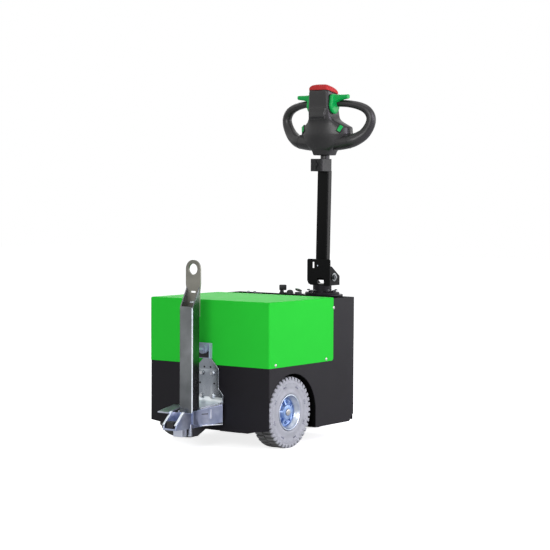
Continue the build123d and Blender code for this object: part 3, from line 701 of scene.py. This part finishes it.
eye_half, eye_z, foot_half = 30.5, 597.0, 26.5
outline = [(-eye_half, 548.0), (-foot_half, 520.0), (-foot_half, 440.0),
           (foot_half, 440.0), (foot_half, 520.0), (eye_half, 548.0)]
outline += [(eye_half * cos(pi * k / 24), eye_z + eye_half * sin(pi * k / 24)) for k in range(25)]
bm = extruded([at(x, -85, z) for x, z in outline], mm(0, 6, 0))
cutters = [disc(0, -82, eye_z, 18, 20)]
for z in (487, 522):
    cutters.append(placed(block(-11, 11, -10, 10, z - 2.8, z + 2.8, 0.5, 1), 0, -82, 0))
eye_plate = piece("eye_plate", bm, eye_steel, "chassis", ("hitch_eye",))
holed(eye_plate, cutters)
soften(eye_plate, 0.8)
# painted highlight: a slanted lip in the pale zinc, bright as the sky that it faces
bm = prism([(-84.8, 483.5), (-89.5, 486), (-84.8, 491)], -11, 11)
piece("eye_slot_lip", bm, highlight_zinc, "chassis")

# %% [markdown]
# ## Tab and plate fixings
# The tab above the plate has folded sides and carries a cross pin in a short, round boss. Four
# hex bolts on washers hold the plate, and four small holes are left open in it. The holes are
# black discs of painted shade laid on the plate, because nothing would be seen through holes of
# this size.

# %% Tab
base = placed(block(-40, 17, 0, 6, 296, 348, 1.0), 0, -8, 0)
folds = [placed(block(x - 1.6, x + 1.6, -10, 2, 297, 347, 0.5, 1), 0, -8, 0) for x in (-38.4, 15.4)]
pin, boss = disc(-6, -50, 329, 6, 80, 24), disc(-8, -17, 329, 16, 20)
stand_in("hitch_lug", "tab_boss", joined(base, *folds, pin, boss), tab_coat, bevel=0.7)
# painted shade: a black block on the tab's lower face, below the boss
bm = placed(block(-36.5, 13.5, -2.5, 1, 299, 321, 0.8, 1), 0, -9, 0)
piece("tab_shade_block", bm, pad_rubber, "chassis")

# %% Plate bolts and holes
bolts = []
for x in (-22, 22):
    for z in (172, 248):
        bolts.append(disc(x, -10.2, z, 8.6, 1.6, 24))
        bolts.append(disc(x, -12.8, z, 6.4, 4.4, 6))
piece("plate_bolts", joined(*bolts), bolt_zinc, "chassis", bevel=0.4)
hole_spots = [(-12, 268), (14, 268), (-30, 214), (30, 214)]
holes = [disc(x, -8.4, z, 3.2, 1.2, 20) for x, z in hole_spots]
piece("plate_hole_shades", joined(*holes), pad_rubber, "chassis")

# %% [markdown]
# ## Drive wheels
# A solid, non-marking tyre on a pressed rim. The tyre's wall is a profile spun about the axle,
# with a raised rib near the bead and one near the shoulder. Its lugs could be a bump in the
# material, but the outline has to be notched when seen from the side. So one lug is extruded and
# bevelled, and copied round the tread: the two rows are half a pitch apart, and each lug wraps
# over the shoulder. Plain bars and dimples fill the wall.

# %% Tyre
wheel_x, axle_y, tyre_r = 205.0, 131.0, 120.0
lug_count = 40
wall_profile = [
    # x, radius: out from the bore to the crown on the outer side
    (29.5, 60), (33.4, 61.6), (35.4, 64), (36.2, 67.5), (35.8, 71), (34, 75),
    (33.6, 79), (33.6, 83), (34.2, 88), (35, 92), (35.4, 97), (35.9, 97.8),
    (35.9, 99.4), (35.2, 100.4), (34.9, 106), (34, 109.6), (31.6, 112.2), (22, 113.6),
    (6, 114.2),
]
lug_outline = [
    # x, radius: from the tread's middle, over the shoulder and down the wall
    (2.5, 113), (2.5, 119.4), (18, 120), (30, 119.4), (35.4, 117.6), (36.9, 110),
    (36, 106), (33.4, 105.2),
]
lug_half_width = 5.6


def tyre_form():
    """The whole tyre about its own centre."""
    carcass = spun(wall_profile + [(-x, r) for x, r in reversed(wall_profile)], 132)
    rows = []
    for side in (1, -1):
        corners = [mm(side * x, -lug_half_width, r) for x, r in lug_outline]
        lug = extruded(corners, mm(0, 2 * lug_half_width, 0))
        bmesh.ops.recalc_face_normals(lug, faces=lug.faces)
        rounded(lug, lug.edges[:], 0.9, 1)
        rows.append(repeat_round(lug, lug_count, 0 if side > 0 else pi / lug_count))
    return joined(carcass, *rows)


def wall_marks():
    """Raised bars in eight groups of three, and a ring of small dimples."""
    bars = [repeat_round(block(33.8, 36.1, a - 1.9, a + 1.9, 86.0, 92.0, 0.8, 1), 8, 0.3)
            for a in (-8, -2.6, 4)]
    return joined(*bars, repeat_round(block(31.0, 36.2, -1.6, 1.6, 95.0, 97.2, 0.6, 1), 30))


for hand, side in hands:
    tyre, centre = "tyre_" + hand, (side * wheel_x, axle_y, tyre_r, side)
    stand_in(tyre, tyre + "_lugged", placed(tyre_form(), *centre), tyre_grey, 40)
    bm = placed(wall_marks(), *centre)
    piece(tyre + "_marks", bm, mark_rubber, "wheel_" + hand)

# %% [markdown]
# ## Rims
# The rim is pressed and zinc plated: a rolled flange, a deep dish, and five stiffening ribs
# between the hub and the dish's wall, with a nut on a stud between each pair. The round parts
# are spun, and one rib and one nut are copied round the hub, which keeps them alike.

# %% Rim
flange_profile = [
    # x, radius: round the flange and its cone, then back along the barrel
    (29, 60.2), (33, 60.8), (35.4, 59.8), (36, 57.8), (35, 56), (31, 54.6),
    (26, 51), (21, 47.6), (18, 46.4), (16, 48.4), (20, 52), (24, 56),
    (-26, 55.6), (-31.5, 57.5), (-31.5, 60.2),
]
dish_profile = [
    # x, radius: from the cone's foot to the hub, and back behind
    (17.5, 47), (14, 46), (12.4, 43.6), (12.4, 31), (14, 27.5), (18, 25.6),
    (24.5, 24.6), (26.6, 23.4), (27.4, 21), (27.4, 12.3), (8.5, 12.3), (8.5, 46),
    (14, 48.6),
]
axle_end = [(27, 0.01), (30.4, 0.01), (30.9, 2.2), (30.9, 8.4), (30, 10.2), (27, 11.4)]
rib_count, rib_start = 5, 0.2


def dish_form():
    """The dish with its ribs, studs and nuts about the wheel's centre."""
    rib = block(12.0, 24.0, -3.4, 3.4, 23.5, 46.0, 1.8)
    for v in rib.verts:
        if v.co.x > mm(18) and v.co.z > mm(38):
            v.co.x -= mm(5.5)
    nut = rotated(joined(drum(6.4, 6, 6, 5.8), drum(3.4, 12, 16, 2.8)), pi / 2, "Y")
    bmesh.ops.translate(nut, verts=nut.verts, vec=mm(15.0, 0, 36.0))
    ribs = repeat_round(rib, rib_count, rib_start)
    nuts = repeat_round(nut, rib_count, rib_start + pi / rib_count)
    return joined(spun(dish_profile, 96), ribs, nuts)


for hand, side in hands:
    rim, wheel, centre = "rim_" + hand, "wheel_" + hand, (side * wheel_x, axle_y, tyre_r, side)
    stand_in(rim, rim + "_flange", placed(spun(flange_profile, 96), *centre), rim_zinc, 40)
    piece(rim + "_dish", placed(dish_form(), *centre), dish_zinc, wheel, (), 32)
    bm = placed(spun(axle_end, 32), *centre)
    piece("axle_end_" + hand, bm, bare_steel, wheel, (), 32)

# %% [markdown]
# ## The handle loop
# One soft grip runs out of the head high up on each side, round the hand and back in low down.
# It is slim where the fingers close and swells towards the bottom, where it carries the load.
# A curve with a round bevel could draw it, but rings bridged along an eased centreline keep the
# tube round in its bends.

# %% Loop
loop_rows = [
    # x, y, z of the centreline, radius, from the head's side to its middle
    (34, 677, 1171, 12.6), (70, 680, 1170, 12.8), (104, 683, 1167, 13), (143, 690, 1158, 14.5),
    (170, 695, 1143, 16), (184, 698, 1119, 17), (180, 698, 1092, 18.5), (162, 694, 1063, 20.5),
    (139, 686, 1045, 22.5), (110, 677, 1033, 24.2), (60, 672, 1026, 25.4), (0, 670, 1024, 26),
]
seam_rows = [(103, 676, 1031.4, 25), (105.4, 676.4, 1031.9, 25)]


def eased(rows, steps):
    """Rows with in-between values, along a smooth curve through all of them."""
    full = [rows[0]] + rows + [rows[-1]]
    curve = []
    for i in range(1, len(full) - 2):
        p = [Vector(row) for row in full[i - 1:i + 3]]
        for k in range(steps):
            t = k / steps
            a = p[1] * 2 + (p[2] - p[0]) * t
            b = (p[0] * 2 - p[1] * 5 + p[2] * 4 - p[3]) * t * t
            c = (p[1] * 3 - p[0] - p[2] * 3 + p[3]) * t * t * t
            curve.append((a + b + c) / 2)
    return curve + [Vector(rows[-1])]


def swept(rows, side, segments=32):
    """A round tube through rows of x, y, z and radius, mirrored for the left side."""
    rows = [Vector((side * x, y, z, r)) for x, y, z, r in rows]
    bm = bmesh.new()
    last = None
    for i, row in enumerate(rows):
        before, after = rows[max(i - 1, 0)], rows[min(i + 1, len(rows) - 1)]
        along = (Vector(after[:3]) - Vector(before[:3])).normalized()
        across = (Vector((0, 1, 0)) - along * along.y).normalized()
        ring_frame = Matrix((across, along.cross(across), along)).transposed().to_4x4()
        ring_frame.translation = at(*row[:3])
        made = bmesh.ops.create_circle(
            bm, cap_ends=False, segments=segments, radius=mm(row[3]), matrix=ring_frame
        )
        edges = {edge for vert in made["verts"] for edge in vert.link_edges}
        ring = [e for e in edges if all(v in made["verts"] for v in e.verts)]
        if last:
            bmesh.ops.bridge_loops(bm, edges=last + ring)
        last = ring
    bmesh.ops.holes_fill(bm, edges=bm.edges, sides=0)
    return bm


for hand, side in hands:
    grip = "grip_" + hand
    stand_in(grip, grip + "_loop", swept(eased(loop_rows, 6), side), handle_plastic, 50)
    piece(grip + "_seam", swept(seam_rows, side), pad_rubber, "tiller", (), 30)

# %% [markdown]
# ## The head's housing
# The housing is a moulded shell: a flat-fronted column on top, shoulders that sweep out over the
# handle, and a tapering chin. Sculpting would fit it, but can't be measured. So it is a stack of
# eight-sided rings, bridged and then subdivided. Creases hold the column's corners and the rims
# of the shoulders.

# %% Housing
head_rows = [
    # z, front y, front half, corner y, side half, rear corner y, rear y, rear half, crease
    (983, 646, 30, 652, 36, 698, 705, 28, 0.9),
    (1000, 644, 34, 651, 44, 700, 708, 31, 0.3),
    (1008, 639, 36, 649, 58, 698, 710, 40, 0.1),
    (1026, 634, 36, 654, 88, 697, 712, 56, 0.0),
    (1044, 630, 37, 659, 97, 706, 716, 62, 0.2),
    (1060, 628, 37, 662, 108, 716, 722, 70, 0.9),
    (1084, 628, 37, 666, 104, 717, 721, 68, 0.6),
    (1100, 628, 37, 656, 74, 709, 715, 50, 0.1),
    (1114, 627, 38, 639, 48, 703, 708, 42, 0.2),
    (1153, 627, 37, 632, 43, 699, 703, 37, 0.5),
    (1157, 629, 36.5, 633, 42, 699, 703, 37, 0.4),
    (1219, 629, 36, 634, 42, 698, 703, 36, 0.9),
]
chin_z, column_z, column_front, flank_x = 1003, 1110, 628, 70
cap_fall, column_crease = 0.20, 0.7


def head_ring(bm, row, fall=0.0):
    """Eight joined corners of one section of the head, which may fall off to the rear."""
    z, front_y, front_half, corner_y, side_half, rear_corner_y, rear_y, rear_half = row[:8]
    right_side = [(front_half, front_y), (side_half, corner_y),
                  (side_half, rear_corner_y), (rear_half, rear_y)]
    outline = right_side + [(-x, y) for x, y in reversed(right_side)]
    verts = [bm.verts.new(at(x, y, z - fall * (y - column_front))) for x, y in outline]
    return [bm.edges.new((a, b)) for a, b in zip(verts, verts[1:] + verts[:1])]


def head_stack(rows, falls):
    """A closed stack of head rings, each with its crease. The shoulders' front stays soft."""
    bm = bmesh.new()
    crease = bm.edges.layers.float.new("crease_edge")
    rings = [head_ring(bm, row, fall) for row, fall in zip(rows, falls)]
    for low, high in zip(rings, rings[1:]):
        bmesh.ops.bridge_loops(bm, edges=low + high)
    bmesh.ops.holes_fill(bm, edges=bm.edges, sides=0)
    for row, ring in zip(rows, rings):
        for edge in ring:
            flank = max(abs(v.co.x) for v in edge.verts) > mm(flank_x)
            edge[crease] = row[8] if flank or not chin_z < row[0] < column_z else 0.0
    return bm, crease


bm, crease = head_stack(head_rows, [0.0] * (len(head_rows) - 1) + [cap_fall])
for edge in bm.edges:
    a, b = (v.co.z for v in edge.verts)
    if abs(a - b) > mm(1) and min(a, b) > mm(column_z):
        edge[crease] = column_crease
subdivide(stand_in("head_housing", "head_housing_moulded", bm, handle_plastic, 180), 3)

# %% [markdown]
# ## Recesses under the shoulders
# Below each shoulder the moulding has a hollow that shows as a dark gap. Cutting it would break
# up the subdivided shell, so a rounded black block of painted shade sits in its place.

# %% Recesses
for hand, side in hands:
    bm = rotated(block(-11, 11, -27, 27, -9, 9, 3.0), side * radians(14), "Y")
    bm = placed(bm, side * 93, 690, 1051)
    piece("shoulder_hollow_shade_" + hand, bm, pad_rubber, "tiller")

# %% [markdown]
# ## Stop cap
# The red cap overhangs the column a little and is domed like a pillow. The column's own outline,
# moved in or out at each height, gives its rings, so the cap follows the column on all sides.

# %% Stop cap
cap_rows = [
    # rise, inset from the column's outline, crease
    (0.0, 1.0, 1.0), (0.5, -2.6, 0.9), (8.0, -2.4, 0.5), (15.0, 1.0, 0.2), (22.0, 9.0, 0.0),
    (26.0, 22.0, 0.0),
]
column_top = (1218, 630, 36, 635, 41, 698, 702, 36)
inwards = (0, 1, -1, 1, -1, -1, -1, -1)
rows = []
for rise, inset, hold in cap_rows:
    row = [value + inset * way for value, way in zip(column_top, inwards)]
    rows.append([row[0] + rise, *row[1:], hold])
bm, _ = head_stack(rows, [cap_fall] * len(rows))
subdivide(stand_in("stop_cap", "stop_cap_domed", bm, stop_red, 180), 3)

# %% [markdown]
# ## Switches and window
# The drive switch is a pear-shaped rocker on each side, with a fin for the thumb. Its outline is
# extruded and inset, the fin is a row of bridged rings, and a subdivision makes both soft. Two
# small keys sit on the shoulders in dark frames. The window on the front is a bare glossy plate.

# %% Rockers
pear_rows = [
    # y, z round the rocker's side view
    (641, 1143), (650, 1133), (663, 1130), (677, 1134), (687, 1146), (691, 1160), (686, 1176),
    (687, 1192), (680, 1202), (662, 1204), (644, 1203), (637, 1196), (640, 1184), (634, 1170),
    (633, 1156),
]
pear_inner_x, pear_depth = 38, 17
fin_rows = [
    # x, middle y, middle z, half depth, half height
    (46, 666, 1184, 17, 18), (56, 667, 1185, 15, 16), (66, 667, 1189, 14, 13),
    (80, 667, 1191, 12, 10), (95, 666, 1192, 11, 8.6), (108, 665, 1193, 10, 8),
    (109.5, 665, 1193, 9.5, 7.6),
]
octagon = ((-1, -0.6), (-0.6, -1), (0.6, -1), (1, -0.6), (1, 0.6), (0.6, 1), (-0.6, 1), (-1, 0.6))
for hand, side in hands:
    corners = [at(side * pear_inner_x, y, z) for y, z in pear_rows]
    pear = extruded(corners, mm(side * pear_depth, 0, 0))
    outer_x = mm(pear_inner_x + pear_depth - 1)
    outer = [f for f in pear.faces if all(abs(v.co.x) > outer_x for v in f.verts)]
    bmesh.ops.inset_region(
        pear, faces=outer, thickness=mm(5), depth=mm(2.5), use_even_offset=True
    )
    fin = bmesh.new()
    last = None
    for x, y, z, dy, dz in fin_rows:
        verts = [fin.verts.new(at(side * x, y + a * dy, z + b * dz)) for a, b in octagon]
        ring = [fin.edges.new((a, b)) for a, b in zip(verts, verts[1:] + verts[:1])]
        if last:
            bmesh.ops.bridge_loops(fin, edges=last + ring)
        last = ring
    bmesh.ops.holes_fill(fin, edges=fin.edges, sides=0)
    rocker = "rocker_" + hand
    subdivide(stand_in(rocker, rocker + "_pear", joined(pear, fin), key_green, 180), 2)

# %% Keys and window
for hand, side in hands:
    lean_out = Matrix.Rotation(side * radians(31), 4, "Z") @ Matrix.Rotation(radians(-14), 4, "X")
    lean_out = lean_out @ Matrix.Rotation(side * radians(32), 4, "Y")
    spot = Matrix.Translation(at(side * 81, 652.5, 1079)) @ lean_out
    for part, grow, depth, finish, slot, solids in (
        ("key", 0.0, 2.4, key_green, "button_green", ("button_" + hand,)),
        ("frame", 2.6, 0.4, soft_plastic, "plastic_black", ()),
    ):
        bm = block(-7 - grow, 7 + grow, -depth, 6, -12.5 - grow, 12.5 + grow, 2.6, 3)
        bmesh.ops.transform(bm, matrix=spot, verts=bm.verts)
        piece("button_" + part + "_" + hand, bm, finish, "tiller", solids)
bm = placed(block(-35, 35, 0, 6, 1109, 1153, 3.0, 4), 0, 624.6, 0)
piece("display_frame", bm, handle_plastic, "tiller")
bm = placed(block(-30, 30, 0, 5, 1114, 1140, 1.6, 3), 0, 623.8, 0)
stand_in("display_window", "display_plate", bm, window_gloss)

# %% [markdown]
# ## Screws and bearing bolts
# The cover is held by button-head screws low on each side, and one high at its rear edge. They
# are spheres pressed flat, which at this size look like turned heads. The photograph doesn't show
# the rear, so it has the usual fixings: screws down the panel's sides and six bearing bolts.

# %% Cover screws
cover_half = 252
bm = bmesh.new()
for side in (-1, 1):
    for y, z in ((34, 285), (326, 284), (370, 457)):
        made = bmesh.ops.create_uvsphere(bm, u_segments=16, v_segments=10, radius=mm(5.5))
        seat = Matrix.Translation(at(side * cover_half, y, z)) @ Matrix.Diagonal((0.42, 1, 1, 1))
        bmesh.ops.transform(bm, matrix=seat, verts=made["verts"])
piece("cover_screws", bm, bare_steel, "chassis")

# %% Rear screws and bearing bolts
rear_spots = [(side * 236, z) for side in (-1, 1) for z in (84, 200, 330, 458)]
heads = [disc(x, 499.0, z, 5.0, 2.4, 20) for x, z in rear_spots]
# painted shade: each screw's hex socket is a flat black disc on its head
sockets = [disc(x, 500.3, z, 2.4, 0.6, 6) for x, z in rear_spots]
piece("rear_panel_screws", joined(*heads), bare_steel, "chassis", (), 30, 0.7)
piece("rear_socket_shades", joined(*sockets), pad_rubber, "chassis")
bearing_y, bearing_top, bolt_circle = 665.0, 493.5, 50
bolts = []
for k in range(6):
    angle = radians(30 + 60 * k)
    x, y = bolt_circle * cos(angle), bearing_y + bolt_circle * sin(angle)
    for radius, low, high, sides in ((7.0, 0, 1.2, 24), (5.2, 1.2, 4.8, 6)):
        bolts.append(placed(drum(radius, high - low, sides), x, y, bearing_top + (low + high) / 2))
piece("bearing_bolts", joined(*bolts), hitch_zinc, "chassis", (), 30, 0.5)

# %% [markdown]
# ## Deck fittings
# Behind the cover stand a winged key, a small dome lamp and a charging socket with a flip cap,
# with two studs to their left. Only their outlines show over the cover's edge, so they are turned
# from short profiles.

# %% Deck fittings
deck_z, deck_y = 488.0, 472.0
key_x, lamp_x, socket_x = -37, -6, 30


def turned(profile, steps=40):
    """A round upright form from (radius, height) points in millimetres, about the Z axis."""
    return rotated(spun([(z, r) for r, z in profile], steps), -pi / 2, "Y")


collar = placed(drum(13, 6, 40), key_x, deck_y, deck_z + 3)
stem = placed(drum(7, 8, 32), key_x, deck_y - 6, deck_z + 9)
wing = rotated(block(-13, 13, -3.2, 3.2, 13, 33, 2.8, 3), radians(36), "Z")
bm = joined(collar, stem, placed(wing, key_x, deck_y, deck_z))
stand_in("key_switch", "winged_key", bm, soft_plastic, bevel=0.6)
stud_profile = [(0.01, 0.2), (5.5, 0.2), (5.2, 3.4), (3, 5.2), (0.01, 5.6)]
studs = [placed(turned(stud_profile, 20), x, deck_y, deck_z) for x in (-162, -190)]
piece("deck_studs", joined(*studs), hitch_zinc, "chassis", (), 40)
dome_profile = [(0.01, 0.2), (13.5, 0.2), (13.5, 3), (12.4, 4.4), (11.8, 9), (9, 13.6),
                (4.5, 16), (0.01, 16.4)]
dome = placed(turned(dome_profile), lamp_x, deck_y, deck_z)
stand_in("status_lamp", "dome_lamp", dome, soft_plastic, 40)
socket_profile = [(0.01, 0.2), (15, 0.2), (15, 2.4), (13, 3.6), (12.4, 9), (10.4, 9), (10, 4),
                  (0.01, 4)]
bm = placed(turned(socket_profile), socket_x, deck_y, deck_z)
piece("socket_ring", bm, soft_plastic, "chassis", (), 40)
flap = turned([(0.01, 0), (12.6, 0), (13.2, 1.2), (12.4, 2.6), (0.01, 3.4)])
flap = placed(rotated(flap, radians(-28), "X", mm(0, 12.5, 0)), socket_x, deck_y, deck_z + 9.4)
stand_in("charge_socket", "socket_flap", flap, clip_plastic, 40)

# %% [markdown]
# ## Rear wheel
# The rear wheel is a narrow cushion tyre on a plastic hub. Both are the same on their two sides,
# so half a profile is typed, mirrored and spun.

# %% Rear wheel
caster_y, caster_z = 605.0, 85.0
tyre_half = [(29, 55), (33, 56), (35, 60), (35, 74), (33, 80), (28, 83.6), (18, 84.8)]
tyre_ring = tyre_half + [(0, 85)] + [(-x, r) for x, r in reversed(tyre_half)]
bm = placed(spun(tyre_ring, 96), 0, caster_y, caster_z)
stand_in("caster_tyre", "caster_tyre_round", bm, tyre_dark)
hub_half = [(24, 53.8), (29, 53.4), (30, 50), (22, 46), (20, 40), (20, 26), (26, 22), (37, 21),
            (37, 10.5)]
hub_ring = hub_half + [(-x, r) for x, r in reversed(hub_half)]
bm = placed(spun(hub_ring, 72), 0, caster_y, caster_z)
stand_in("caster_hub", "caster_hub_dished", bm, soft_plastic)

# %% [markdown]
# ## Mast and pivot
# The mast is a rectangular tube with drawn corners, and its foot is rounded so that it clears the
# bracket when it tilts: a box with two bevels of different radius. It turns on a bolt with a
# washer and a lock nut at each end, and a rivet closes the bracket in front.

# %% Mast
pivot_y, pivot_z, mast_lean = 666, 543, radians(-1.6)
half_depth = 13
bm = block(-24, 24, -half_depth, half_depth, -12, 384)
upright = [e for e in bm.edges if abs(e.verts[0].co.z - e.verts[1].co.z) > 0.1]
rounded(bm, upright, 4.5, 5)
foot = [e for e in bm.edges
        if all(v.co.z < 0 for v in e.verts) and abs(e.verts[0].co.y) > mm(half_depth - 0.1)]
rounded(bm, foot, 7.0, 4)
bm = placed(rotated(bm, mast_lean, "X"), 0, pivot_y, pivot_z)
stand_in("mast_tube", "mast_rounded_tube", bm, mast_paint)
bm = joined(disc(-3, 639.4, 584, 2.8, 1.6, 20), disc(-3, 639.0, 584, 1.6, 2.2, 12))
piece("bracket_rivet", bm, foot_zinc, "steering")

# %% Pivot hardware
pivot_profiles = [
    # sides, then x and radius of the washer, the lock nut and the bolt's end
    (40, [(0.2, 0.01), (0.2, 15), (2.4, 15), (2.6, 0.01)]),
    (6, [(2, 0.01), (2, 9.6), (7.4, 9.6), (8.6, 7.6), (8.6, 0.01)]),
    (20, [(8, 0.01), (8, 4.6), (11.4, 4.6), (12, 3.8), (12, 0.01)]),
]
rings = [placed(spun(profile, sides), side * 50, pivot_y, pivot_z, side)
         for side in (1, -1) for sides, profile in pivot_profiles]
stand_in("pivot_bolt", "pivot_hardware", joined(*rings), hitch_zinc, 30)
